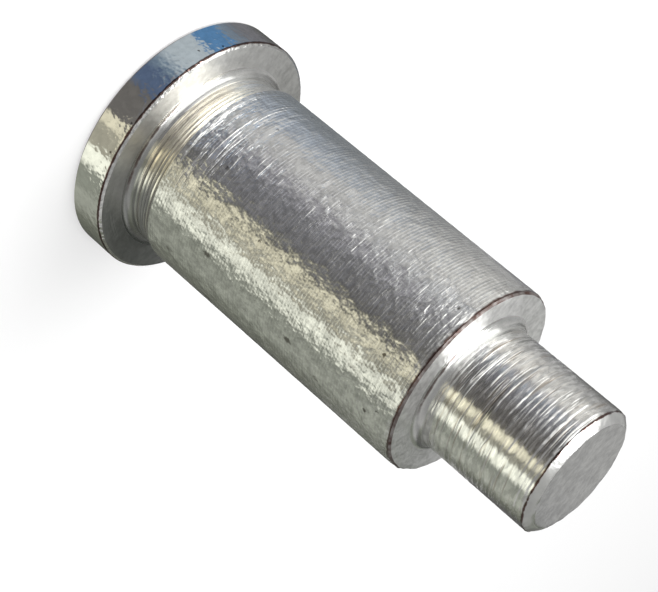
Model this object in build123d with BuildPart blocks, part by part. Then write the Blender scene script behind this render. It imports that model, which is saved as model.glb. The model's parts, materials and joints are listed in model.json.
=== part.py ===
"""Shoulder rivet, turned from one bar of plated steel.

It stands on the outer face of its head, with the axis along +Z and the tenon at the top.
The origin is the centre of the head's outer face. All sizes are in millimetres.
"""

from build123d import *
import os

# Head: a plain flat disc
head_diameter = 7.8
head_thickness = 1.2
head_rim_bevel = 0.08

# Neck: the shallow relief turned under the head, which rises in a slight cone to the shank
neck_relief = 0.15
neck_length = 1.05
neck_cone_length = 0.5
neck_root_fillet = 0.25

# Shank: the full-diameter body, measured with the neck from the head's underside to the shoulder
shank_diameter = 6.0
shank_length = 10.8
shoulder_rim_break = 0.06

# Tenon: the thinner end that goes through the mating plate and is headed over
tenon_diameter = 4.0
tenon_length = 4.0
tenon_root_fillet = 0.25
tenon_end_bevel_width = 0.26
tenon_end_bevel_height = 0.18

# Radii and heights that follow from the driving dimensions
head_radius = head_diameter / 2
shank_radius = shank_diameter / 2
neck_radius = shank_radius - neck_relief
tenon_radius = tenon_diameter / 2
neck_top = head_thickness + neck_length
shoulder_height = head_thickness + shank_length
overall_length = shoulder_height + tenon_length

# How closely a circular edge has to match the radius and height it is picked by
pick_tolerance = 0.001


def rim(part, radius, height):
    """The circular edges of a turned part that have this radius at this height."""
    circles = part.edges().filter_by(GeomType.CIRCLE)
    level = circles.filter_by_position(Axis.Z, height - pick_tolerance, height + pick_tolerance)
    return level.filter_by(lambda edge: abs(edge.radius - radius) < pick_tolerance)


with BuildPart() as rivet:
    # Half of the lengthwise section, from the axis outwards
    with BuildSketch(Plane.XZ):
        with BuildLine():
            Polyline(
                (0, 0),
                (head_radius, 0),
                (head_radius, head_thickness),
                (neck_radius, head_thickness),
                (neck_radius, neck_top - neck_cone_length),
                (shank_radius, neck_top),
                (shank_radius, shoulder_height),
                (tenon_radius, shoulder_height),
                (tenon_radius, overall_length),
                (0, overall_length),
                close=True,
            )
        make_face()
    revolve(axis=Axis.Z)

    # Inner corners left by the nose of the turning tool
    fillet(rim(rivet, neck_radius, head_thickness), neck_root_fillet)
    fillet(rim(rivet, tenon_radius, shoulder_height), tenon_root_fillet)

    # Outer rims, broken so that they aren't sharp
    chamfer(rim(rivet, head_radius, 0), head_rim_bevel)
    chamfer(rim(rivet, head_radius, head_thickness), head_rim_bevel)
    chamfer(rim(rivet, shank_radius, shoulder_height), shoulder_rim_break)

    # End of the tenon, bevelled so that it enters its hole
    end_face = rivet.faces().sort_by(Axis.Z)[-1]
    chamfer(
        rim(rivet, tenon_radius, overall_length),
        length=tenon_end_bevel_width,
        length2=tenon_end_bevel_height,
        reference=end_face,
    )

rivet.part.label = "rivet"

os.makedirs("parts", exist_ok=True)
export_step(rivet.part, "parts/rivet.step")
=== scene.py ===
"""Shoulder rivet: its turned surfaces, its plated finish, the light on it and the camera.

Everything is in metres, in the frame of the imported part: the rivet stands on its head at
the origin, with its axis along +Z.
"""

import json
import math

import bpy
from mathutils import Matrix, Vector

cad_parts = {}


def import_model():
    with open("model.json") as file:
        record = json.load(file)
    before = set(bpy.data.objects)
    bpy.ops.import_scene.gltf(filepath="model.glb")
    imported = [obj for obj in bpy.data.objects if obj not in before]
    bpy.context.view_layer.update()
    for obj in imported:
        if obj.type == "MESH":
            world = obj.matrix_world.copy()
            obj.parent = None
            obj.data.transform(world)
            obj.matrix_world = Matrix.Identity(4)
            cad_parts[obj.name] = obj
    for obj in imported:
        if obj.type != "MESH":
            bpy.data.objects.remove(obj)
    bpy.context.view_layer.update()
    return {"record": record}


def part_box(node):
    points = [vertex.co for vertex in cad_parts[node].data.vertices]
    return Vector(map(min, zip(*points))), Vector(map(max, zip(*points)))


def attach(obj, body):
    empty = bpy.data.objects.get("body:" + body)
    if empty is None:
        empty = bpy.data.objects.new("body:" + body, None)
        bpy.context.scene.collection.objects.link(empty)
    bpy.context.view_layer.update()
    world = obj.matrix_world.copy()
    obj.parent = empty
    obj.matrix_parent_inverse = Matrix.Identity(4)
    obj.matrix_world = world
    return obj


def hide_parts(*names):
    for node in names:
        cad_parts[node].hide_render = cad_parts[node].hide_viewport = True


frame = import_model()

MM = 0.001
NODE = "rivet"

# Sizes of the rivet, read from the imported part
mounts = {mount["name"]: mount for mount in frame["record"]["mounts"]}
low_corner, high_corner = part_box(NODE)


def pin_span(name):
    """The lowest and the highest point of a cylindrical mount that stands along +Z."""
    middle = mounts[name]["pos_m"][2]
    half = mounts[name]["dims"]["length_mm"] * MM / 2
    return middle - half, middle + half


head_radius = (high_corner[0] - low_corner[0]) / 2
shank_radius = mounts["shank"]["dims"]["r_mm"] * MM
tenon_radius = mounts["tenon"]["dims"]["r_mm"] * MM
underside_height = mounts["head_underside"]["pos_m"][2]
shoulder_height = mounts["shoulder"]["pos_m"][2]
end_height = high_corner[2]
shank_start, shank_stop = pin_span("shank")
tenon_start, tenon_stop = pin_span("tenon")

# Sizes that no mount of the part states
head_bevel = 0.08 * MM
neck_relief = 0.15 * MM
neck_cone = 0.5 * MM
neck_fillet = 0.25 * MM
end_bevel_width = 0.26 * MM

# How finely the turned surfaces are divided round the axis
SEGMENTS = 96

# Over how many rings the cutting marks fade out at a band's ends
FADE_RINGS = 2.5

# Between these values of the noise, from 0 to 1, a deeper line goes from none to its full depth
DEEP_LINE_EDGES = (0.42, 0.68)

# Above this value of the noise an edge is nicked, and this share of a nick goes downwards too
NICK_START = 0.4
NICK_DOWN_SHARE = 0.5

# Points nearer than this are welded, and edges sharper than this stay crisp
WELD_DISTANCE = 0.0005 * MM
SHARP_ANGLE = math.radians(30.0)


# Small helpers for node trees

class Output:
    """What a node puts out. Plain sums with it become Math nodes in the same tree."""

    def __init__(self, socket):
        self.socket = socket
        self.tree = socket.id_data

    def __add__(self, other):
        return calc("ADD", self, other)

    def __sub__(self, other):
        return calc("SUBTRACT", self, other)

    def __rsub__(self, other):
        return calc("SUBTRACT", other, self)

    def __mul__(self, other):
        return calc("MULTIPLY", self, other)

    def __truediv__(self, other):
        return calc("DIVIDE", self, other)


def feed(socket, value):
    """Gives an input socket a fixed value, or links what another node puts out to it."""
    if isinstance(value, Output):
        value.tree.links.new(value.socket, socket)
    else:
        socket.default_value = value


def add(tree, kind, inputs=None, **settings):
    """Adds a node, sets its properties and feeds its inputs, by their names or places."""
    node = tree.nodes.new(kind)
    for name, value in settings.items():
        setattr(node, name, value)
    for name, value in (inputs or {}).items():
        feed(node.inputs[name], value)
    return node


def out(node, place=0):
    """One of the things that a node puts out, by its name or place."""
    return Output(node.outputs[place])


def outs(node):
    """All that a node puts out, by name."""
    return {socket.name: Output(socket) for socket in node.outputs}


def calc(operation, *values):
    """One Math node. At least one of its values is what another node puts out."""
    tree = next(value.tree for value in values if isinstance(value, Output))
    return out(add(tree, "ShaderNodeMath", dict(enumerate(values)), operation=operation))


def ramp(value, low, high):
    """Maps value from low..high to 0..1 in a smooth step, kept within it."""
    inputs = {"Value": value, "From Min": low, "From Max": high}
    return out(add(value.tree, "ShaderNodeMapRange", inputs, interpolation_type="SMOOTHSTEP"))


def hypotenuse(first, second):
    """Length of the slanting side over two sides that stand square to each other."""
    return calc("SQRT", first * first + second * second)


def round_groove(phase):
    """1 in the middle of each whole step of the phase and 0 between two, like a round-nosed tool's cut."""
    across = calc("FRACT", phase) * 2.0 - 1.0
    return 1.0 - across * across


def point_from(x, y, z):
    """A point, or a shift, made of three values."""
    return out(add(x.tree, "ShaderNodeCombineXYZ", {"X": x, "Y": y, "Z": z}))


def parts_of(point):
    """The three values that make up a point."""
    return [Output(socket) for socket in add(point.tree, "ShaderNodeSeparateXYZ", {0: point}).outputs]


def scaled_noise(x, y, z, seed, detail, roughness=0.5):
    """Noise between 0 and 1 at a point whose coordinates are already in cells."""
    point = point_from(x, y, z)
    inputs = {"Vector": point, "W": seed, "Scale": 1.0, "Detail": detail, "Roughness": roughness}
    return out(add(x.tree, "ShaderNodeTexNoise", inputs, noise_dimensions="4D"))


def group_socket(tree, name, kind, default=None, output=False):
    """Adds a named input or output to a node group."""
    way = "OUTPUT" if output else "INPUT"
    socket = tree.interface.new_socket(name=name, in_out=way, socket_type=kind)
    if default is not None:
        socket.default_value = default


def group_ends(tree):
    """What a node group is given, and the sockets that take what it puts out."""
    return outs(add(tree, "NodeGroupInput")), add(tree, "NodeGroupOutput").inputs


# Geometry: a lathe made of bands

BAND_ENDS = ("Start Radius", "Start Height", "End Radius", "End Height")
EDGE_VALUES = ("Edge Radius", "Edge Height", "Width", "Depth", "Grain", "Seed")


def turned_band_group():
    """One band of a turned surface, from a start to an end in radius and height.

    A curved band is a quarter round that leaves its start along the radius. The cutting
    marks are a helix of shallow feed grooves and some deeper, uneven lines. They fade out
    at both ends of the band, so that bands meet.
    """
    tree = bpy.data.node_groups.new("Turned band", "GeometryNodeTree")
    for name in BAND_ENDS:
        group_socket(tree, name, "NodeSocketFloat")
    group_socket(tree, "Curved", "NodeSocketFloat", 0.0)
    group_socket(tree, "Rings", "NodeSocketInt", 8)
    group_socket(tree, "Segments", "NodeSocketInt", SEGMENTS)
    group_socket(tree, "Feed", "NodeSocketFloat", MM)
    group_socket(tree, "Feed Depth", "NodeSocketFloat", 0.0)
    group_socket(tree, "Line Spacing", "NodeSocketFloat", MM)
    group_socket(tree, "Line Depth", "NodeSocketFloat", 0.0)
    group_socket(tree, "Seed", "NodeSocketFloat", 0.0)
    group_socket(tree, "Material", "NodeSocketMaterial")
    group_socket(tree, "Mesh", "NodeSocketGeometry", output=True)
    given, result = group_ends(tree)

    grid = add(tree, "GeometryNodeMeshGrid", {
        "Size X": 1.0,
        "Size Y": 1.0,
        "Vertices X": given["Rings"] + 1.0,
        "Vertices Y": given["Segments"] + 1.0,
    })
    x, y, _ = parts_of(out(add(tree, "GeometryNodeInputPosition")))
    along = x + 0.5
    turn = y + 0.5

    # Straight or quarter-round way from start to end
    quarter = along * (math.pi / 2)
    bow_out = calc("SINE", quarter) - along
    bow_up = 1.0 - calc("COSINE", quarter) - along
    step_out = given["End Radius"] - given["Start Radius"]
    step_up = given["End Height"] - given["Start Height"]
    radius = step_out * (bow_out * given["Curved"] + along) + given["Start Radius"]
    height = step_up * (bow_up * given["Curved"] + along) + given["Start Height"]
    length = hypotenuse(step_out, step_up)
    distance = along * length

    # Feed grooves: round-bottomed, on a helix of one groove a turn
    feed_cut = round_groove(distance / given["Feed"] - turn) * given["Feed Depth"]

    # Deeper lines: noise that changes fast along the band and slowly round it
    angle = turn * (-2 * math.pi)
    cosine = calc("COSINE", angle)
    sine = calc("SINE", angle)
    across = distance / given["Line Spacing"]
    noise = scaled_noise(cosine, sine, across, given["Seed"], detail=2.0)
    line_cut = ramp(noise, *DEEP_LINE_EDGES) * given["Line Depth"]

    # The cut is taken along the band's own outward normal, and fades at its ends
    rings_in = calc("MINIMUM", along, 1.0 - along) * given["Rings"]
    cut = (feed_cut + line_cut) * calc("MINIMUM", rings_in / FADE_RINGS, 1.0)
    final_radius = radius - cut * step_up / length
    final_height = height + cut * step_out / length

    point = point_from(final_radius * cosine, final_radius * sine, final_height)
    inputs = {"Geometry": out(grid, "Mesh"), "Position": point}
    move = add(tree, "GeometryNodeSetPosition", inputs)
    inputs = {"Geometry": out(move), "Material": given["Material"]}
    feed(result["Mesh"], out(add(tree, "GeometryNodeSetMaterial", inputs)))
    return tree


def ragged_edge_group():
    """Nicks an edge that runs round the axis: the metal near it is pushed in by uneven amounts."""
    tree = bpy.data.node_groups.new("Ragged edge", "GeometryNodeTree")
    group_socket(tree, "Mesh", "NodeSocketGeometry")
    for name in EDGE_VALUES:
        group_socket(tree, name, "NodeSocketFloat")
    group_socket(tree, "Mesh", "NodeSocketGeometry", output=True)
    given, result = group_ends(tree)

    x, y, z = parts_of(out(add(tree, "GeometryNodeInputPosition")))
    radius = hypotenuse(x, y)
    off = hypotenuse(radius - given["Edge Radius"], z - given["Edge Height"])
    near = calc("MAXIMUM", 1.0 - off / given["Width"], 0.0)
    cells = [value / given["Grain"] for value in (x, y, z)]
    noise = scaled_noise(*cells, given["Seed"], detail=3.0)
    push = calc("MAXIMUM", noise - NICK_START, 0.0) * near * given["Depth"]
    inwards = push * -1.0 / radius
    shift = point_from(x * inwards, y * inwards, push * -NICK_DOWN_SHARE)
    inputs = {"Geometry": given["Mesh"], "Offset": shift}
    feed(result["Mesh"], out(add(tree, "GeometryNodeSetPosition", inputs)))
    return tree


# What the whole lathe tree is given, in the order in which its inputs are shown
RIVET_SIZES = {
    "Head Radius": head_radius,
    "Head Bevel": head_bevel,
    "Underside Height": underside_height,
    "Neck Fillet": neck_fillet,
    "Neck Radius": shank_radius - neck_relief,
    "Neck Cone": neck_cone,
    "Shank Start": shank_start,
    "Shank Radius": shank_radius,
    "Shank Stop": shank_stop,
    "Shoulder Height": shoulder_height,
    "Tenon Start": tenon_start,
    "Tenon Radius": tenon_radius,
    "Tenon Stop": tenon_stop,
    "End Bevel Width": end_bevel_width,
    "End Height": end_height,
}

# Cutting marks of the surfaces: an even feed, and uneven deeper lines
FACING_MARKS = {"Line Spacing": 0.12 * MM, "Line Depth": 0.0015 * MM}
NECK_MARKS = {
    "Feed": 0.15 * MM, "Feed Depth": 0.016 * MM, "Line Spacing": 0.2 * MM, "Line Depth": 0.008 * MM,
}
SHANK_MARKS = {
    "Feed": 0.1 * MM, "Feed Depth": 0.0016 * MM, "Line Spacing": 0.22 * MM, "Line Depth": 0.004 * MM,
}
TENON_MARKS = {
    "Feed": 0.2 * MM, "Feed Depth": 0.003 * MM, "Line Spacing": 0.11 * MM, "Line Depth": 0.007 * MM,
}

# Bands of the lathe in the order of the section: how many rings, which finish and which marks
BANDS = (
    (12, "Head Face Steel", {**FACING_MARKS, "Seed": 1.0}),
    (2, "Burred Steel", {}),
    (12, "Rim Steel", {}),
    (3, "Rim Steel", {}),
    (16, "Head Face Steel", {**FACING_MARKS, "Seed": 2.0}),
    (8, "Neck Root Steel", {"Curved": 1.0}),
    (36, "Neck Steel", {**NECK_MARKS, "Seed": 3.0}),
    (60, "Neck Steel", {**NECK_MARKS, "Seed": 4.0}),
    (670, "Turned Steel", {**SHANK_MARKS, "Seed": 5.0}),
    (3, "Burred Steel", {}),
    (14, "Shoulder Steel", {**FACING_MARKS, "Seed": 6.0}),
    (8, "Tenon Root Steel", {"Curved": 1.0}),
    (150, "Tenon Steel", {**TENON_MARKS, "Seed": 7.0}),
    (4, "Bevel Steel", {}),
    (24, "End Steel", {}),
)


def turned_rivet_tree(materials):
    """The whole rivet as bands of a lathe, welded to one closed skin."""
    tree = bpy.data.node_groups.new("Turned rivet", "GeometryNodeTree")
    for name in RIVET_SIZES:
        group_socket(tree, name, "NodeSocketFloat")
    for name in materials:
        group_socket(tree, name, "NodeSocketMaterial")
    group_socket(tree, "Mesh", "NodeSocketGeometry", output=True)
    given, result = group_ends(tree)

    head = given["Head Radius"]
    bevel = given["Head Bevel"]
    underside = given["Underside Height"]
    neck = given["Neck Radius"]
    fillet = given["Neck Fillet"]
    shank = given["Shank Radius"]
    shoulder = given["Shoulder Height"]
    tenon = given["Tenon Radius"]
    head_inner = head - bevel
    shank_break = shoulder - given["Shank Stop"]
    tenon_root = given["Tenon Start"] - shoulder
    end_edge = tenon - given["End Bevel Width"]

    # Corners of the lengthwise section, from the middle of the head's face to the tenon's end
    corners = (
        (0.0, 0.0),
        (head_inner, 0.0),
        (head, bevel),
        (head, underside - bevel),
        (head_inner, underside),
        (neck + fillet, underside),
        (neck, underside + fillet),
        (neck, given["Shank Start"] - given["Neck Cone"]),
        (shank, given["Shank Start"]),
        (shank, given["Shank Stop"]),
        (shank - shank_break, shoulder),
        (tenon + tenon_root, shoulder),
        (tenon, given["Tenon Start"]),
        (tenon, given["Tenon Stop"]),
        (end_edge, given["End Height"]),
        (0.0, given["End Height"]),
    )
    join = add(tree, "GeometryNodeJoinGeometry")
    band_group = turned_band_group()
    for (start, end), (rings, material, marks) in zip(zip(corners, corners[1:]), BANDS):
        inputs = {**dict(zip(BAND_ENDS, (*start, *end))), "Rings": rings, **marks}
        inputs["Material"] = given[material]
        band = add(tree, "GeometryNodeGroup", inputs, node_tree=band_group)
        feed(join.inputs["Geometry"], out(band))

    inputs = {"Geometry": out(join), "Distance": WELD_DISTANCE}
    skin = out(add(tree, "GeometryNodeMergeByDistance", inputs))
    edge_group = ragged_edge_group()
    for values in (
        (head_inner, underside, 0.14 * MM, 0.05 * MM, 0.25 * MM, 3.0),
        (shank, given["Shank Stop"], 0.22 * MM, 0.16 * MM, 0.30 * MM, 8.0),
        (tenon, given["Tenon Stop"], 0.16 * MM, 0.13 * MM, 0.28 * MM, 5.0),
        (end_edge, given["End Height"], 0.15 * MM, 0.12 * MM, 0.30 * MM, 6.0),
    ):
        inputs = {"Mesh": skin, **dict(zip(EDGE_VALUES, values))}
        skin = out(add(tree, "GeometryNodeGroup", inputs, node_tree=edge_group))

    smooth = add(tree, "GeometryNodeSetShadeSmooth", {"Geometry": skin}, domain="FACE")
    corner = out(add(tree, "GeometryNodeInputMeshEdgeAngle"), "Unsigned Angle")
    inputs = {"A": corner, "B": SHARP_ANGLE}
    sharp = add(tree, "FunctionNodeCompare", inputs, data_type="FLOAT", operation="GREATER_THAN")
    inputs = {"Geometry": out(smooth), "Selection": out(sharp), "Shade Smooth": False}
    crisp = add(tree, "GeometryNodeSetShadeSmooth", inputs, domain="EDGE")
    feed(result["Mesh"], out(add(tree, "GeometryNodeRealizeInstances", {"Geometry": out(crisp)})))
    return tree


def turned_rivet(materials):
    """Runs the lathe tree and keeps its result as a plain mesh."""
    tree = turned_rivet_tree(materials)
    piece = bpy.data.objects.new("turned_rivet", bpy.data.meshes.new("turned_rivet"))
    bpy.context.scene.collection.objects.link(piece)
    lathe = piece.modifiers.new("Lathe", "NODES")
    lathe.node_group = tree
    values = {**RIVET_SIZES, **materials}
    for item in tree.interface.items_tree:
        if item.item_type == "SOCKET" and item.in_out == "INPUT":
            lathe[item.identifier] = values[item.name]
    depsgraph = bpy.context.evaluated_depsgraph_get()
    turned = bpy.data.meshes.new_from_object(piece.evaluated_get(depsgraph))
    piece.modifiers.remove(lathe)
    piece.data = turned
    return piece


# Finish: what the surfaces have in common

# Noise lies round this middle. Between the values of a pair of edges a mark goes from none to full
MIDDLE_OF_NOISE = 0.5
FLECK_EDGES = (0.38, 0.62)
TONE_EDGES = (0.35, 0.65)
LINE_EDGES = (0.49, 0.63)
PATCH_FADE = 0.16

# How fine the tone is beside the nodules, and how fine and how deep the bays in a pit's
# outline are beside the pits' spacing
TONE_SCALE = 0.4
PIT_EDGE_SCALE = 7.0
PIT_RAGGEDNESS = 0.3

# The length over which a score's place changes as it runs round the axis
SCORE_DRIFT = 5.0 * MM

# Scored patches: how fine they are beside the scores' spacing, what keeps their noise apart
# from that of the scores, and above which noise one starts, lowered by so much for a full share
PATCH_SCALE = 0.7
PATCH_SEED_STEP = 20.0
PATCH_START = 0.65
PATCH_START_DROP = 0.3

# The size of the bays in a stain's ragged outline
STAIN_CELL = 0.35 * MM

# A pit or a line of stain is full within this share of its size, and fades out from there
FULL_WITHIN = 0.4

# A side fades in from its reach to where it faces its heading this nearly, as a cosine
FULLY_FACING = 0.95


def shader_group(name, inputs, outputs):
    """A new shader node group with its sockets, and what it is given and what it puts out."""
    tree = bpy.data.node_groups.new(name, "ShaderNodeTree")
    for socket, default in inputs.items():
        group_socket(tree, socket, "NodeSocketFloat", default)
    for socket in outputs:
        group_socket(tree, socket, "NodeSocketFloat", output=True)
    return tree, *group_ends(tree)


def place_on_axis(tree):
    """Object position as x, y, height and the distance from the axis."""
    x, y, height = parts_of(out(add(tree, "ShaderNodeTexCoord"), "Object"))
    return x, y, height, hypotenuse(x, y)


def plating_grain_group():
    """The crumbly skin of the plating: small nodules on a wider swell, with an uneven tone.

    Stretch draws the nodules out round the axis. Swell is how many times as high as the
    nodules the wider unevenness is.
    """
    tree, given, result = shader_group(
        "Plating grain",
        {"Cell": 0.1 * MM, "Stretch": 1.0, "Swell": 0.0, "Height": 0.004 * MM, "Seed": 0.0},
        ("Height", "Fleck", "Tone"),
    )
    x, y, z, _ = place_on_axis(tree)
    long_cell = given["Cell"] * given["Stretch"]
    cells = (x / long_cell, y / long_cell, z / given["Cell"])
    fine = scaled_noise(*cells, given["Seed"], detail=1.2, roughness=0.45)
    broad_cells = [value * TONE_SCALE for value in cells]
    broad = scaled_noise(*broad_cells, given["Seed"], detail=1.0)
    feed(result["Height"], (broad * given["Swell"] + fine) * given["Height"])
    feed(result["Fleck"], ramp(fine, *FLECK_EDGES))
    feed(result["Tone"], ramp(broad, *TONE_EDGES))
    return tree


def turning_lines_group():
    """Uneven scores that run part of the way round the axis, on walls and on faces alike.

    Patch is where the metal is scored at all, whether or not there is a line.
    """
    tree, given, result = shader_group(
        "Turning lines",
        {"Spacing": 0.05 * MM, "Reach": 1.5 * MM, "Height": 0.001 * MM, "Share": 0.5, "Seed": 0.0},
        ("Height", "Line", "Patch"),
    )
    x, y, z, radius = place_on_axis(tree)
    across = (z - radius) / given["Spacing"]
    noise = scaled_noise(x / SCORE_DRIFT, y / SCORE_DRIFT, across, given["Seed"], detail=1.5)
    lines = ramp(noise, *LINE_EDGES)
    near_x = x / given["Reach"]
    near_y = y / given["Reach"]
    patch_seed = given["Seed"] + PATCH_SEED_STEP
    noise = scaled_noise(near_x, near_y, across * PATCH_SCALE, patch_seed, detail=2.0)
    start = given["Share"] * -PATCH_START_DROP + PATCH_START
    patch = ramp(noise, start, start + PATCH_FADE)
    score = lines * patch
    feed(result["Height"], score * given["Height"] * -1.0)
    feed(result["Line"], score)
    feed(result["Patch"], patch)
    return tree


def feed_marks_group():
    """The even helix that the turning tool leaves: round-bottomed grooves, one a turn."""
    tree, given, result = shader_group(
        "Feed marks",
        {"Feed": 0.1 * MM, "Start": 0.0, "Height": 0.001 * MM},
        ("Height", "Groove"),
    )
    x, y, z, _ = place_on_axis(tree)
    turn = calc("ARCTAN2", y, x) / (-2 * math.pi)
    groove = round_groove((z - given["Start"]) / given["Feed"] - turn)
    feed(result["Height"], groove * given["Height"] * -1.0)
    feed(result["Groove"], groove)
    return tree


def pits_group():
    """Small dark pits, far apart and ragged. Stretch draws them out along the axis."""
    tree, given, result = shader_group(
        "Pits",
        {"Spacing": 0.8 * MM, "Stretch": 1.0, "Size": 0.12, "Seed": 0.0},
        ("Mask",),
    )
    x, y, z, _ = place_on_axis(tree)
    spacing = given["Spacing"]
    cells = (x / spacing, y / spacing, z / (spacing * given["Stretch"]))
    fine_cells = [value * PIT_EDGE_SCALE for value in cells]
    noise = scaled_noise(*fine_cells, given["Seed"], detail=2.0)
    inputs = {"Vector": point_from(*cells), "W": given["Seed"], "Scale": 1.0}
    spots = add(tree, "ShaderNodeTexVoronoi", inputs, voronoi_dimensions="4D")
    distance = (noise - MIDDLE_OF_NOISE) * PIT_RAGGEDNESS + out(spots, "Distance")
    feed(result["Mask"], ramp(distance, given["Size"], given["Size"] * FULL_WITHIN))
    return tree


def edge_stain_group():
    """A thin, broken line of stain along a circular edge."""
    tree, given, result = shader_group(
        "Edge stain",
        {
            "Edge Radius": MM,
            "Edge Height": 0.0,
            "Width": 0.05 * MM,
            "Raggedness": 0.12 * MM,
            "Seed": 0.0,
        },
        ("Mask",),
    )
    x, y, z, radius = place_on_axis(tree)
    distance = hypotenuse(radius - given["Edge Radius"], z - given["Edge Height"])
    cells = [value / STAIN_CELL for value in (x, y, z)]
    noise = scaled_noise(*cells, given["Seed"], detail=3.0, roughness=0.65)
    distance = (noise - MIDDLE_OF_NOISE) * given["Raggedness"] + distance
    feed(result["Mask"], ramp(distance, given["Width"], given["Width"] * FULL_WITHIN))
    return tree


def facing_side_group():
    """The side of the rivet that faces a heading, fading to 0 at its reach. Both are in degrees."""
    tree, given, result = shader_group("Facing side", {"Heading": 0.0, "Reach": 53.0}, ("Mask",))
    x, y, _, radius = place_on_axis(tree)
    turn = calc("RADIANS", given["Heading"])
    towards = x * calc("SINE", turn) - y * calc("COSINE", turn)
    limit = calc("COSINE", calc("RADIANS", given["Reach"]))
    feed(result["Mask"], ramp(towards / radius, limit, FULLY_FACING))
    return tree


# Colours of the metal, of what has gathered on it, and of the light and shade painted onto it
STEEL = (0.70, 0.70, 0.685, 1.0)
# Brighter steel, painted on as glints on the shank and as light on the shoulder
PAINTED_LIGHT_STEEL = (0.88, 0.88, 0.87, 1.0)
CLEAN_STEEL = (0.84, 0.835, 0.82, 1.0)
DULL_STEEL = (0.45, 0.45, 0.44, 1.0)
# Darker steels of the end face, painted on as shade
SHADED_MATT_STEEL = (0.54, 0.54, 0.53, 1.0)
SHADED_DIM_STEEL = (0.38, 0.38, 0.375, 1.0)
# Warm, bright steel painted on as a sheen
WARM_SHEEN_STEEL = (0.90, 0.84, 0.70, 1.0)
# Tarnish in the neck's deep rings, and painted shade in the tenon's lines
TARNISH_AND_GROOVE_SHADE = (0.40, 0.36, 0.31, 1.0)
STAIN = (0.085, 0.052, 0.045, 1.0)
# Grey painted on as shade, on sides of the rivet and in the tenon's scores
SHADE_PAINT_GREY = (0.275, 0.28, 0.27, 1.0)
PIT_COLOUR = (0.10, 0.09, 0.08, 1.0)

# Sides of the rivet where its finish changes, and where shade, glints and a warm sheen are painted on: a
# heading in degrees, 0 towards the camera and growing towards +X, and how many degrees to either side of it
# the change reaches
WHOLE_SIDE = (-75.0, 53.0)
WORN_AND_GLINT_SIDE = (-38.0, 53.0)
STREAKED_SIDE = (-22.0, 58.0)
CRUMBLED_SIDE = (-9.0, 27.0)
WARM_SHEEN_SIDE = (-8.0, 53.0)
STAINED_SIDE = (15.0, 36.0)
SHADED_RIB_SIDE = (20.0, 22.0)
HEAD_PAINTED_SHADE_SIDE = (42.0, 70.0)
LOWER_SIDE = (52.0, 53.0)
PITTED_SIDE = (62.0, 34.0)
NECK_PAINTED_SHADE_SIDE = (75.0, 53.0)
SHOULDER_PAINTED_SHADE_SIDE = (98.0, 70.0)

# How far from the neck the long streaks reach, and how far from an inner corner its stain lies
STREAKED_LENGTH = 3.2 * MM
STAIN_OFFSET = 0.12 * MM

# Anisotropic rotation that draws the sheen out across marks that run round the axis
ACROSS_THE_MARKS = 0.25

grain_group = plating_grain_group()
lines_group = turning_lines_group()
feed_group = feed_marks_group()
pit_group = pits_group()
stain_group = edge_stain_group()
side_group = facing_side_group()


def use_group(tree, group, **values):
    """Places a node group in a material with its own values. Words of a name are joined by _."""
    inputs = {name.replace("_", " ").title(): value for name, value in values.items()}
    return outs(add(tree, "ShaderNodeGroup", inputs, node_tree=group))


def plating_grain(tree, **values):
    """The plating's grain, as its height, fleck and tone."""
    return use_group(tree, grain_group, **values)


def turning_lines(tree, **values):
    """Uneven scores, as their height, line and patch."""
    return use_group(tree, lines_group, **values)


def pits(tree, **values):
    """1 in small pits, and 0 between them."""
    return use_group(tree, pit_group, **values)["Mask"]


def stain_line(tree, radius, height, **values):
    """1 in a thin, broken line along a circular edge, and 0 off it."""
    return use_group(tree, stain_group, edge_radius=radius, edge_height=height, **values)["Mask"]


def on_side(tree, side):
    """1 on a side of the rivet, fading to 0 at its reach."""
    heading, reach = side
    return use_group(tree, side_group, heading=heading, reach=reach)["Mask"]


def mix_colour(share, first, second):
    """Mixes two colours, each given as four numbers or as what another node puts out."""
    inputs = {"Factor": share, 6: first, 7: second}
    return out(add(share.tree, "ShaderNodeMix", inputs, data_type="RGBA"), 2)


def metal(name, roughness, anisotropy):
    """A bare metal whose sheen is drawn out across the marks that run round the axis."""
    material = bpy.data.materials.new(name)
    material.use_nodes = True
    tree = material.node_tree
    shader = tree.nodes["Principled BSDF"]
    shader.inputs["Metallic"].default_value = 1.0
    shader.inputs["Roughness"].default_value = roughness
    shader.inputs["Anisotropic"].default_value = anisotropy
    shader.inputs["Anisotropic Rotation"].default_value = ACROSS_THE_MARKS
    tangent = add(tree, "ShaderNodeTangent", direction_type="RADIAL", axis="Z")
    feed(shader.inputs["Tangent"], out(tangent))
    return material, tree, shader


def finish_metal(shader, colour, height):
    """Links the colour, and the height in metres for the bump."""
    feed(shader.inputs["Base Color"], colour)
    bump = add(height.tree, "ShaderNodeBump", {"Strength": 1.0, "Distance": 1.0, "Height": height})
    feed(shader.inputs["Normal"], out(bump))


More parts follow.
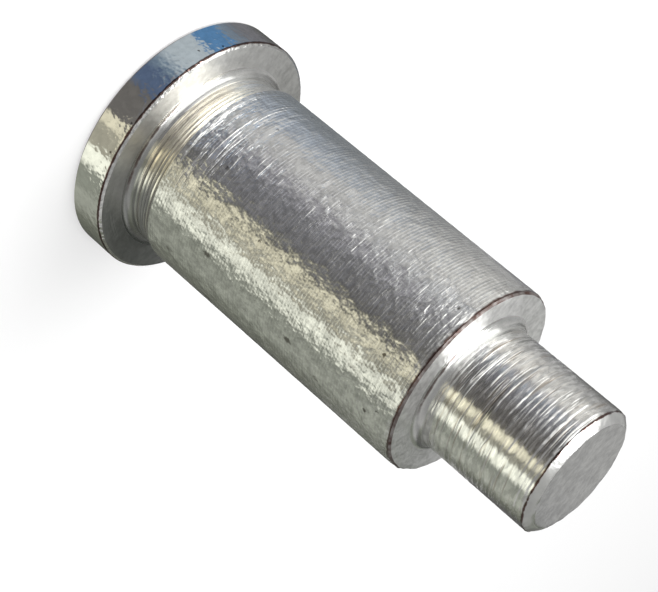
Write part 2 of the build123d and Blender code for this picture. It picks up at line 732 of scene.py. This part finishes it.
def shank_scores(tree, groove, whole):
    """Where the shank is painted bright as glints, the height of its scores, and where it is streaked."""
    lines = turning_lines(
        tree, spacing=0.12 * MM, reach=0.25 * MM, height=0.006 * MM, share=0.7, seed=4.0
    )
    scores = turning_lines(
        tree, spacing=0.15 * MM, reach=0.40 * MM, height=0.008 * MM, share=0.5, seed=21.0
    )

    # A little of the wear, and of the glints painted on it, is on every side, and hardly any where the
    # marks are whole
    wear_and_glints = (on_side(tree, WORN_AND_GLINT_SIDE) * 0.85 + 0.15) * (1.0 - whole * 0.9)

    # Dashes on the ridges between the grooves of the feed are painted bright as glints
    dashes = ramp(groove, 0.8, 0.2) * lines["Patch"]
    dashes = calc("MAXIMUM", dashes, scores["Line"]) * wear_and_glints
    height = (lines["Height"] + scores["Height"]) * wear_and_glints

    # Long streaks run out from the neck, and are painted bright as glints
    streaks = turning_lines(
        tree, spacing=0.15 * MM, reach=2.4 * MM, height=0.0135 * MM, share=0.9, seed=43.0
    )
    _, _, level, _ = place_on_axis(tree)
    by_neck = ramp(level, shank_start + STREAKED_LENGTH, shank_start)
    streaked = on_side(tree, STREAKED_SIDE) * by_neck
    painted_glints = calc("MAXIMUM", dashes, streaks["Line"] * streaked)
    return painted_glints, height + streaks["Height"] * streaked, streaked


def turned_steel():
    """Shank: an even feed, whole on one side and worn to dashes beside it, under crumbly plating, with
    painted glints on dashes and ridges and painted shade in the grooves.
    """
    material, tree, shader = metal("turned_steel", roughness=0.26, anisotropy=0.75)
    grain = plating_grain(
        tree, cell=0.14 * MM, stretch=0.9, swell=2.2, height=0.015 * MM, seed=2.0
    )
    feeds = use_group(tree, feed_group, feed=0.1 * MM, start=shank_start, height=0.002 * MM)
    groove = feeds["Groove"]
    whole = on_side(tree, WHOLE_SIDE)
    lower = on_side(tree, LOWER_SIDE)
    uncrumbled = 1.0 - on_side(tree, CRUMBLED_SIDE) * 0.7

    # The whole marks come and go in stretches, and carry a painted highlight along their ridges
    stretches = turning_lines(tree, spacing=0.22 * MM, reach=2.0 * MM, share=0.55, seed=31.0)
    clear = whole * (stretches["Patch"] * 0.75 + 0.25)
    painted_glints, score_height, streaked = shank_scores(tree, groove, whole)
    painted_glints = calc("MAXIMUM", painted_glints, ramp(groove, 0.9, 0.1) * clear * 0.45)

    # What dulls the plating: its grain, and clouds on the lower side, which is brighter between its
    # clouds. The bottoms of the marks, and ribs of them on one side, are darkened as painted shade
    clouds = plating_grain(tree, cell=0.30 * MM, seed=33.0)
    dull = (
        grain["Fleck"] * (1.0 - whole * 0.5) * 0.45
        + groove * (1.0 - grain["Tone"] * 0.6) * uncrumbled * 0.15
        + grain["Tone"] * 0.35
        + groove * clear * 0.35
        + groove * on_side(tree, SHADED_RIB_SIDE) * clouds["Tone"] * 0.5
        + lower * clouds["Fleck"] * 0.45
        - lower * 0.2
    )
    colour = mix_colour(dull, STEEL, DULL_STEEL)
    # Painted glints: dashes, streaks and ridges are brightened towards the brighter steel
    colour = mix_colour(painted_glints, colour, PAINTED_LIGHT_STEEL)

    small_pits = pits(tree, spacing=0.62 * MM, size=0.15, seed=5.0)
    deep_pits = pits(tree, spacing=0.55 * MM, stretch=1.8, size=0.21, seed=12.0)
    deep_pits = deep_pits * on_side(tree, PITTED_SIDE) * 0.85
    stain = stain_line(tree, shank_radius, shank_stop, width=0.10 * MM, seed=3.0)
    colour = mix_colour(calc("MAXIMUM", small_pits, deep_pits), colour, PIT_COLOUR)
    colour = mix_colour(stain, colour, STAIN)

    # The skin is rougher where it is streaked, and the feed is fainter where it is crumbled
    skin_height = (grain["Height"] + score_height) * (streaked * 0.8 + 1.0)
    finish_metal(shader, colour, skin_height + feeds["Height"] * uncrumbled)
    return material


def neck_steel():
    """Neck: coarse open rings, tarnished where they are deep, with a painted warm sheen on one side and
    painted shade on another.
    """
    material, tree, shader = metal("neck_steel", roughness=0.22, anisotropy=0.75)
    grain = plating_grain(tree, cell=0.14 * MM, stretch=2.0, height=0.010 * MM, seed=15.0)
    lines = turning_lines(
        tree, spacing=0.14 * MM, reach=2.5 * MM, height=0.009 * MM, share=0.6, seed=16.0
    )
    # Painted warm sheen: one side of the neck is tinted brighter and warmer, as a warm glow on it
    colour = mix_colour(on_side(tree, WARM_SHEEN_SIDE), CLEAN_STEEL, WARM_SHEEN_STEEL)
    colour = mix_colour(grain["Fleck"] * 0.15 + grain["Tone"] * 0.15, colour, DULL_STEEL)
    # Painted shade greys one side of the neck
    colour = mix_colour(on_side(tree, NECK_PAINTED_SHADE_SIDE) * 0.65, colour, SHADE_PAINT_GREY)
    colour = mix_colour(lines["Line"] * 0.5, colour, TARNISH_AND_GROOVE_SHADE)
    finish_metal(shader, colour, grain["Height"] + lines["Height"])
    return material


def root_steel(name, radius, height, painted_shade_share, seed):
    """Fillet in an inner corner: smooth, with a line of stain on one side, where the flat ring starts, and
    painted shade on its lower side.
    """
    material, tree, shader = metal(name, roughness=0.24, anisotropy=0.6)
    grain = plating_grain(tree, cell=0.14 * MM, stretch=2.0, height=0.006 * MM, seed=seed)
    stain = stain_line(tree, radius + STAIN_OFFSET, height, width=0.07 * MM, seed=seed)
    colour = mix_colour(grain["Fleck"] * 0.2 + grain["Tone"] * 0.2, STEEL, DULL_STEEL)
    # Painted shade greys the lower side of the fillet
    colour = mix_colour(on_side(tree, LOWER_SIDE) * painted_shade_share, colour, SHADE_PAINT_GREY)
    colour = mix_colour(stain * on_side(tree, STAINED_SIDE) * 0.85, colour, STAIN)
    finish_metal(shader, colour, grain["Height"])
    return material


def tenon_steel():
    """Tenon: coarse, open turning marks, with less plating on them, and painted shade in their lines and
    scores.
    """
    material, tree, shader = metal("tenon_steel", roughness=0.18, anisotropy=0.75)
    grain = plating_grain(tree, cell=0.12 * MM, stretch=2.5, height=0.010 * MM, seed=5.0)
    lines = turning_lines(
        tree, spacing=0.11 * MM, reach=1.3 * MM, height=0.006 * MM, share=0.6, seed=6.0
    )
    scores = turning_lines(
        tree, spacing=0.16 * MM, reach=2.2 * MM, height=0.011 * MM, share=0.6, seed=9.0
    )
    stain = stain_line(tree, tenon_radius, tenon_stop, width=0.07 * MM, seed=5.0)
    colour = mix_colour(grain["Fleck"] * 0.45 + 0.22, CLEAN_STEEL, DULL_STEEL)
    # Painted shade darkens the lines and scores, as if they lay in shadow
    colour = mix_colour(lines["Line"] * 0.85, colour, TARNISH_AND_GROOVE_SHADE)
    colour = mix_colour(scores["Line"] * 0.8, colour, SHADE_PAINT_GREY)
    colour = mix_colour(pits(tree, spacing=1.0 * MM, size=0.09, seed=4.0), colour, PIT_COLOUR)
    colour = mix_colour(stain, colour, STAIN)
    finish_metal(shader, colour, grain["Height"] + lines["Height"] + scores["Height"])
    return material


def rim_steel():
    """Rim of the head: the smoothest surface, rippled and lightly pitted."""
    material, tree, shader = metal("rim_steel", roughness=0.15, anisotropy=0.3)
    grain = plating_grain(tree, cell=0.17 * MM, height=0.040 * MM, seed=7.0)
    stain = stain_line(
        tree,
        head_radius,
        underside_height - head_bevel,
        width=0.055 * MM,
        raggedness=0.10 * MM,
        seed=7.0,
    )
    colour = mix_colour(grain["Fleck"] * 0.2 + grain["Tone"] * 0.2, STEEL, DULL_STEEL)
    colour = mix_colour(pits(tree, spacing=0.45 * MM, size=0.12, seed=3.0), colour, PIT_COLOUR)
    colour = mix_colour(stain, colour, STAIN)
    finish_metal(shader, colour, grain["Height"])
    return material


def faced_steel(name, bright, height, painted_shade_side, painted_shade_share):
    """A flat ring that was faced square to the axis: satin, flecked, and darkened on one side by painted
    shade.
    """
    material, tree, shader = metal(name, roughness=0.36, anisotropy=0.7)
    grain = plating_grain(tree, cell=0.14 * MM, height=height, seed=9.0)
    lines = turning_lines(
        tree, spacing=0.06 * MM, reach=1.0 * MM, height=0.002 * MM, share=0.6, seed=8.0
    )
    colour = mix_colour(grain["Fleck"] * 0.3 + grain["Tone"] * 0.3, bright, DULL_STEEL)
    # Painted shade greys one side of the ring
    colour = mix_colour(on_side(tree, painted_shade_side) * painted_shade_share, colour, SHADE_PAINT_GREY)
    finish_metal(shader, colour, grain["Height"] + lines["Height"])
    return material


def end_steel():
    """End of the tenon: an even, matt grey, in darker steels that are painted shade."""
    material, tree, shader = metal("end_steel", roughness=0.25, anisotropy=0.0)
    grain = plating_grain(tree, cell=0.14 * MM, height=0.010 * MM, seed=14.0)
    # Painted shade: the end face takes darker steels than the rest of the rivet
    colour = mix_colour(grain["Fleck"] * 0.4 + grain["Tone"] * 0.6, SHADED_MATT_STEEL, SHADED_DIM_STEEL)
    colour = mix_colour(pits(tree, spacing=0.8 * MM, size=0.05, seed=6.0), colour, PIT_COLOUR)
    finish_metal(shader, colour, grain["Height"])
    return material


def bevel_steel():
    """Bevel at the tenon's end: smooth and bright, with painted shade on its lower side."""
    material, tree, shader = metal("bevel_steel", roughness=0.32, anisotropy=0.4)
    grain = plating_grain(tree, cell=0.18 * MM, height=0.012 * MM, seed=11.0)
    stain = stain_line(tree, tenon_radius, tenon_stop, width=0.05 * MM, seed=5.0)
    colour = mix_colour(grain["Fleck"] * 0.15 + grain["Tone"] * 0.2, STEEL, DULL_STEEL)
    # Painted shade greys the lower side of the bevel
    colour = mix_colour(on_side(tree, LOWER_SIDE) * 0.4, colour, SHADE_PAINT_GREY)
    colour = mix_colour(stain, colour, STAIN)
    finish_metal(shader, colour, grain["Height"])
    return material


def burred_steel():
    """Broken outer edges: rough, with the stain that has gathered there."""
    material, tree, shader = metal("burred_steel", roughness=0.5, anisotropy=0.0)
    grain = plating_grain(tree, cell=0.16 * MM, height=0.008 * MM, seed=12.0)
    colour = mix_colour(grain["Fleck"] * 0.25 + grain["Tone"] * 0.25, STAIN, DULL_STEEL)
    finish_metal(shader, colour, grain["Height"])
    return material


# Floor, surroundings and light

def seen_directly(tree):
    """1 for camera, glossy and transmission rays, and 0 for the rays that light things."""
    path = outs(add(tree, "ShaderNodeLightPath"))
    seen = calc("MAXIMUM", path["Is Camera Ray"], path["Is Glossy Ray"])
    return calc("MAXIMUM", seen, path["Is Transmission Ray"])


FLOOR_RADIUS = 0.6
FLOOR_CORNERS = 64
FLOOR_COLOUR = (0.9, 0.9, 0.9, 1.0)

# How much of the floor that is seen is plain white, and how strongly the white world lights
FLOOR_WHITE_SHARE = 0.6
WORLD_LIGHT = 0.5


def floor():
    """A plain white floor that keeps the shadow."""
    angles = [2 * math.pi * step / FLOOR_CORNERS for step in range(FLOOR_CORNERS)]
    points = [(FLOOR_RADIUS * math.cos(angle), FLOOR_RADIUS * math.sin(angle), 0.0) for angle in angles]
    mesh = bpy.data.meshes.new("floor")
    mesh.from_pydata(points, [], [list(range(FLOOR_CORNERS))])
    disc = bpy.data.objects.new("floor", mesh)
    bpy.context.scene.collection.objects.link(disc)

    material = bpy.data.materials.new("floor_white")
    material.use_nodes = True
    tree = material.node_tree
    tree.nodes.clear()
    lit = out(add(tree, "ShaderNodeBsdfDiffuse", {"Color": FLOOR_COLOUR}))
    white = out(add(tree, "ShaderNodeEmission", {"Strength": 1.0}))
    inputs = {"Fac": seen_directly(tree) * FLOOR_WHITE_SHARE, 1: lit, 2: white}
    mix = add(tree, "ShaderNodeMixShader", inputs)
    add(tree, "ShaderNodeOutputMaterial", {"Surface": out(mix)})
    mesh.materials.append(material)


def world():
    """White where it is seen, and a plain level where it lights."""
    surroundings = bpy.data.worlds.new("studio")
    bpy.context.scene.world = surroundings
    surroundings.use_nodes = True
    tree = surroundings.node_tree
    background = tree.nodes["Background"]
    background.inputs["Color"].default_value = (1.0, 1.0, 1.0, 1.0)
    strength = seen_directly(tree) * (1.0 - WORLD_LIGHT) + WORLD_LIGHT
    feed(background.inputs["Strength"], strength)


# Cards that lie and stand round the rivet. Metal has no colour but what it mirrors, so each
# stretch of card gives a stripe along it. Only glossy rays see the cards.
DARK = (0.05, 0.055, 0.05)
SHADE = (0.13, 0.13, 0.125)
MID_GREY = (0.36, 0.36, 0.36)
WALL_GREY = (0.45, 0.45, 0.45)
PALE_GREY = (0.62, 0.62, 0.61)
SOFT_GREY = (0.70, 0.69, 0.68)
LIGHT_GREY = (1.12, 1.08, 1.0)
WINDOW = (2.0, 2.0, 1.95)
VIOLET_GREY = (0.37, 0.36, 0.40)
SLATE = (0.22, 0.22, 0.24)
BROWN_GREY = (0.20, 0.19, 0.18)
UMBER = (0.05, 0.043, 0.032)
INK = (0.06, 0.075, 0.11)
SKY_BLUE = (0.13, 0.30, 0.56)
STORM_BLUE = (0.24, 0.265, 0.29)
HAZE_BLUE = (0.46, 0.53, 0.64)
DULL_BLUE = (0.24, 0.32, 0.41)
NAVY = (0.12, 0.17, 0.28)
ICE_BLUE = (0.60, 0.68, 0.74)
WARM_WHITE = (1.05, 0.99, 0.76)
BRIGHT_WARM = (1.35, 1.27, 0.95)
BRIGHT_CREAM = (1.62, 1.56, 1.20)
WARM_GREY = (0.52, 0.50, 0.40)
OLIVE_GREY = (0.34, 0.33, 0.26)
GREEN_WHITE = (1.38, 1.40, 1.20)
BRIGHT_GREEN = (1.62, 1.64, 1.42)
GREEN_GREY = (0.36, 0.38, 0.32)
PALE_GREEN = (0.46, 0.48, 0.41)
DIM_GREEN = (0.29, 0.31, 0.26)
DEEP_GREEN = (0.20, 0.21, 0.17)

# Stops of a card: an angle in degrees, 0 towards the camera and growing towards +X, and the
# colour there. The colour changes evenly from one stop to the next.

# Cards on the floor, by the angle round the rivet where its wall mirrors them
RIM_STOPS = (
    (-90, DARK), (-78, SHADE), (-70, SLATE), (-62, SLATE), (-52, DULL_BLUE), (-50, SKY_BLUE),
    (-39, SKY_BLUE), (-37, ICE_BLUE), (-24, ICE_BLUE), (-18, DULL_BLUE), (-13, NAVY), (-7, NAVY),
    (-3, BROWN_GREY), (10, BROWN_GREY), (12, WARM_WHITE), (15, WARM_WHITE), (18, WARM_GREY),
    (26, WARM_GREY), (28, GREEN_WHITE), (34, GREEN_WHITE), (38, GREEN_GREY), (46, GREEN_GREY),
    (50, PALE_GREEN), (56, PALE_GREEN), (66, DEEP_GREEN), (90, DARK),
)
SHANK_LEFT = ((-90, SHADE), (-76, MID_GREY), (-66, MID_GREY), (-45, SOFT_GREY))
SHANK_LEFT_BY_THE_HEAD = (
    (-90, SHADE), (-76, STORM_BLUE), (-66, STORM_BLUE), (-46, HAZE_BLUE), (-38, SOFT_GREY),
)
SHANK_RIGHT = (
    (-27, SOFT_GREY), (-17, VIOLET_GREY), (-8, SLATE), (5, SLATE), (11, OLIVE_GREY),
    (15.5, BRIGHT_WARM), (17, BRIGHT_WARM), (20.5, WARM_GREY), (25, WARM_GREY), (30, BRIGHT_GREEN),
    (33, BRIGHT_GREEN), (39, GREEN_GREY), (45, GREEN_GREY), (50, PALE_GREEN), (55, PALE_GREEN),
    (61, GREEN_GREY), (68, DEEP_GREEN), (90, SHADE),
)
TENON_STOPS = (
    (-90, DARK), (-78, SLATE), (-73, WALL_GREY), (-63, PALE_GREY), (-47, LIGHT_GREY),
    (-35, LIGHT_GREY), (-32, WALL_GREY), (-26, DULL_BLUE), (-19, INK), (-9, UMBER), (11, UMBER),
    (14, BRIGHT_CREAM), (19, BRIGHT_CREAM), (22, OLIVE_GREY), (25, OLIVE_GREY), (28, BRIGHT_GREEN),
    (36, BRIGHT_GREEN), (38, DIM_GREEN), (47, DIM_GREEN), (53, PALE_GREEN), (58, PALE_GREEN),
    (67, DEEP_GREEN), (80, DEEP_GREEN), (90, SHADE),
)

# Upright cards, by the heading at which they stand: their lower and upper edge in millimetres,
# and their stops from one end to the other
STANDING_CARDS = (
    ("front_card", (0.0, 8.0), (
        (-100, PALE_GREY), (-70, PALE_GREY), (-52, VIOLET_GREY), (-36, SLATE), (-24, SLATE),
        (-4, BROWN_GREY),
    )),
    ("window_card", (8.0, 16.0), ((-95, WINDOW), (-36, WINDOW), (-14, WALL_GREY), (-8, MID_GREY))),
    ("upper_window_card", (16.0, 42.0), ((-95, WINDOW), (-14, WINDOW), (0, WALL_GREY))),
    ("side_card", (0.0, 9.0), (
        (-4, BROWN_GREY), (20, BROWN_GREY), (24, WARM_WHITE), (34, WARM_WHITE), (40, OLIVE_GREY),
        (50, OLIVE_GREY), (54, GREEN_WHITE), (70, GREEN_WHITE), (76, GREEN_GREY), (96, PALE_GREEN),
        (110, PALE_GREEN),
    )),
    ("side_wall", (9.0, 60.0), ((0, MID_GREY), (70, WALL_GREY), (110, SOFT_GREY))),
    ("back_card", (0.0, 18.0), (
        (110, PALE_GREEN), (126, DEEP_GREEN), (150, SHADE), (200, SHADE), (225, MID_GREY),
        (260, PALE_GREY),
    )),
    ("back_wall", (18.0, 23.0), (
        (110, MID_GREY), (130, MID_GREY), (145, SHADE), (158, DARK), (169, DARK), (176, WALL_GREY),
        (184, PALE_GREY), (260, PALE_GREY),
    )),
    ("upper_back_wall", (23.0, 60.0), (
        (110, WALL_GREY), (124, WALL_GREY), (138, PALE_GREY), (148, PALE_GREY), (156, DIM_GREEN),
        (169, DIM_GREEN), (174, WALL_GREY), (182, PALE_GREY), (198, WALL_GREY), (222, WALL_GREY),
        (240, PALE_GREY), (260, PALE_GREY),
    )),
)
NEAR_CARD_STOPS = ((140, DARK), (177, DARK))

# How far from the axis the upright cards stand, in millimetres
CARD_DISTANCE = 38.0
NEAR_CARD_DISTANCE = 8.0

# How finely cards are divided round the axis, in degrees
CARD_STEP = 1
CEILING_STEP = 10


def heading(degrees):
    """Level direction at an angle round the rivet, 0 towards the camera and 90 along +X."""
    angle = math.radians(degrees)
    return Vector((math.sin(angle), -math.cos(angle), 0.0))


def stop_value(stops, position):
    """Value between the stops at a position, each number of it taken in a straight line."""
    for (start, first), (stop, second) in zip(stops, stops[1:]):
        if position <= stop:
            share = max(0.0, (position - start) / (stop - start))
            return [one + (other - one) * share for one, other in zip(first, second)]
    return list(stops[-1][1])


def card_material():
    """Gives off the colour that is painted on the card."""
    material = bpy.data.materials.new("reflector_card")
    material.use_nodes = True
    tree = material.node_tree
    tree.nodes.clear()
    paint = add(tree, "ShaderNodeAttribute", attribute_name="paint")
    glow = add(tree, "ShaderNodeEmission", {"Color": out(paint, "Color")})
    add(tree, "ShaderNodeOutputMaterial", {"Surface": out(glow)})
    return material


def painted_card(name, columns, material):
    """A strip of card. Each column is an inner or lower point, an outer or upper one, and their colours."""
    points, colours = [], []
    for first, second, first_colour, second_colour in columns:
        points += [first, second]
        colours += [*first_colour, 1.0, *second_colour, 1.0]
    faces = [(2 * step, 2 * step + 1, 2 * step + 3, 2 * step + 2) for step in range(len(columns) - 1)]
    mesh = bpy.data.meshes.new(name)
    mesh.from_pydata(points, [], faces)
    mesh.color_attributes.new("paint", "FLOAT_COLOR", "POINT").data.foreach_set("color", colours)
    mesh.materials.append(material)
    piece = bpy.data.objects.new(name, mesh)
    bpy.context.scene.collection.objects.link(piece)
    for kind in ("camera", "diffuse", "transmission", "volume_scatter", "shadow"):
        setattr(piece, f"visible_{kind}", False)


def steps_between(start, stop):
    """Even steps of about the cards' step, from the start to the stop."""
    count = max(1, round((stop - start) / CARD_STEP))
    return [start + (stop - start) * step / count for step in range(count + 1)]


def floor_card(name, radius, stops, far_stops, material, reach, lift):
    """Card just over the floor, where a wall of this radius mirrors it to the camera.

    Where the wall faces an angle, it mirrors what lies out from it at twice that angle. Reach
    is how far out the card starts and ends that way, and lift is how high over the floor it
    lies, in millimetres. The far stops colour its outer edge.
    """
    lift = Vector((0.0, 0.0, lift * MM))
    columns = []
    for angle in steps_between(-90, 90):
        foot = heading(angle) * radius + lift
        way = heading(2 * angle)
        columns.append((
            foot + way * reach[0] * MM,
            foot + way * reach[1] * MM,
            stop_value(stops, angle),
            stop_value(far_stops, angle),
        ))
    painted_card(name, columns, material)


def standing_card(name, heights, stops, material, distance=CARD_DISTANCE):
    """Upright card at a distance from the axis, from one height to another, in millimetres."""
    low, high = [Vector((0.0, 0.0, height * MM)) for height in heights]
    columns = []
    for angle in steps_between(stops[0][0], stops[-1][0]):
        foot = heading(angle) * distance * MM
        colour = stop_value(stops, angle)
        columns.append((foot + low, foot + high, colour, colour))
    painted_card(name, columns, material)


def ceiling_card(name, radius, height, colour, material):
    """Level card over everything. Its sizes are in millimetres."""
    middle = Vector((0.0, 0.0, height * MM))
    columns = []
    for angle in range(0, 361, CEILING_STEP):
        columns.append((middle, middle + heading(angle) * radius * MM, colour, colour))
    painted_card(name, columns, material)


def reflector_cards():
    """All the cards, in the paint that they share."""
    paint = card_material()
    near_stops = SHANK_LEFT_BY_THE_HEAD + SHANK_RIGHT
    far_stops = SHANK_LEFT + SHANK_RIGHT
    floor_card("rim_card", head_radius, RIM_STOPS, RIM_STOPS, paint, reach=(0.0, 2.5), lift=0.04)
    floor_card(
        "shank_near_card", shank_radius, near_stops, near_stops, paint, reach=(2.7, 8.0), lift=0.02
    )
    floor_card(
        "shank_far_card", shank_radius, near_stops, far_stops, paint, reach=(8.0, 24.0), lift=0.02
    )
    floor_card(
        "tenon_card", tenon_radius, TENON_STOPS, TENON_STOPS, paint, reach=(25.0, 36.0), lift=0.02
    )
    for name, heights, stops in STANDING_CARDS:
        standing_card(name, heights, stops, paint)
    standing_card("near_card", (0.0, 9.0), NEAR_CARD_STOPS, paint, distance=NEAR_CARD_DISTANCE)
    ceiling_card("ceiling_card", radius=150.0, height=130.0, colour=PALE_GREY, material=paint)


def soft_lamp(name, azimuth, elevation, distance, size, power):
    """A square soft lamp that points at the middle of the rivet."""
    turn = math.radians(azimuth)
    rise = math.radians(elevation)
    direction = Vector((
        math.sin(turn) * math.cos(rise),
        -math.cos(turn) * math.cos(rise),
        math.sin(rise),
    ))
    lamp = bpy.data.lights.new(name, "AREA")
    lamp.energy = power
    lamp.size = size
    holder = bpy.data.objects.new(name, lamp)
    bpy.context.scene.collection.objects.link(holder)
    holder.location = Vector((0, 0, end_height / 2)) + direction * distance
    holder.rotation_euler = direction.to_track_quat("Z", "Y").to_euler()
    holder.visible_camera = False


# Camera, placed from where the photograph shows the rivet: the picture's size and the focal
# length in its pixels, and where the centre of the head's outer face lies and how far off
PICTURE = (658.0, 592.0)
FOCAL_PIXELS = 2066.0
FACE_CENTRE_PIXEL = (177.0, 135.3)
FACE_CENTRE_DEPTH = 60.48 * MM

# How steeply the camera looks down, and the rivet's axis falls across the picture
CAMERA_TILT = math.radians(25.6)
AXIS_SLOPE = math.radians(40.6)

# Width of the camera's sensor, and the nearest and farthest that it sees
SENSOR_WIDTH = 36.0
NEAREST_SEEN = 1.0 * MM
FARTHEST_SEEN = 2.0


def camera():
    """Looks down on the rivet by its tilt, and is rolled so that the axis falls to the lower right."""
    right = Vector((
        -math.sin(AXIS_SLOPE),
        math.sin(CAMERA_TILT) * math.cos(AXIS_SLOPE),
        math.cos(CAMERA_TILT) * math.cos(AXIS_SLOPE),
    ))
    up = Vector((
        -math.cos(AXIS_SLOPE),
        -math.sin(CAMERA_TILT) * math.sin(AXIS_SLOPE),
        -math.cos(CAMERA_TILT) * math.sin(AXIS_SLOPE),
    ))
    back = right.cross(up)
    face_right = (FACE_CENTRE_PIXEL[0] - PICTURE[0] / 2) / FOCAL_PIXELS * FACE_CENTRE_DEPTH
    face_up = (PICTURE[1] / 2 - FACE_CENTRE_PIXEL[1]) / FOCAL_PIXELS * FACE_CENTRE_DEPTH
    place = back * FACE_CENTRE_DEPTH - right * face_right - up * face_up

    lens = bpy.data.cameras.new("camera")
    lens.sensor_width = SENSOR_WIDTH
    lens.lens = FOCAL_PIXELS / PICTURE[0] * SENSOR_WIDTH
    lens.clip_start = NEAREST_SEEN
    lens.clip_end = FARTHEST_SEEN
    holder = bpy.data.objects.new("camera", lens)
    bpy.context.scene.collection.objects.link(holder)
    turn = Matrix((right, up, back)).transposed()
    holder.matrix_world = Matrix.Translation(place) @ turn.to_4x4()
    bpy.context.scene.camera = holder


rivet = turned_rivet({
    "Head Face Steel": faced_steel(
        "head_face_steel", STEEL, height=0.009 * MM, painted_shade_side=HEAD_PAINTED_SHADE_SIDE, painted_shade_share=0.5
    ),
    # The shoulder takes the brighter steel as painted light, and painted shade on one side
    "Shoulder Steel": faced_steel(
        "shoulder_steel", PAINTED_LIGHT_STEEL, height=0.016 * MM, painted_shade_side=SHOULDER_PAINTED_SHADE_SIDE, painted_shade_share=0.35
    ),
    "Burred Steel": burred_steel(),
    "Rim Steel": rim_steel(),
    "Neck Root Steel": root_steel(
        "neck_root_steel", shank_radius - neck_relief, underside_height, painted_shade_share=0.8, seed=13.0
    ),
    "Neck Steel": neck_steel(),
    "Turned Steel": turned_steel(),
    "Tenon Root Steel": root_steel(
        "tenon_root_steel", tenon_radius, shoulder_height, painted_shade_share=0.3, seed=17.0
    ),
    "Tenon Steel": tenon_steel(),
    "Bevel Steel": bevel_steel(),
    "End Steel": end_steel(),
})
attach(rivet, "root")
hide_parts(NODE)

floor()
world()
reflector_cards()
soft_lamp("key_lamp", azimuth=-89.0, elevation=71.0, distance=0.09, size=0.056, power=0.11)
camera()
bpy.context.scene.view_settings.view_transform = "Standard"
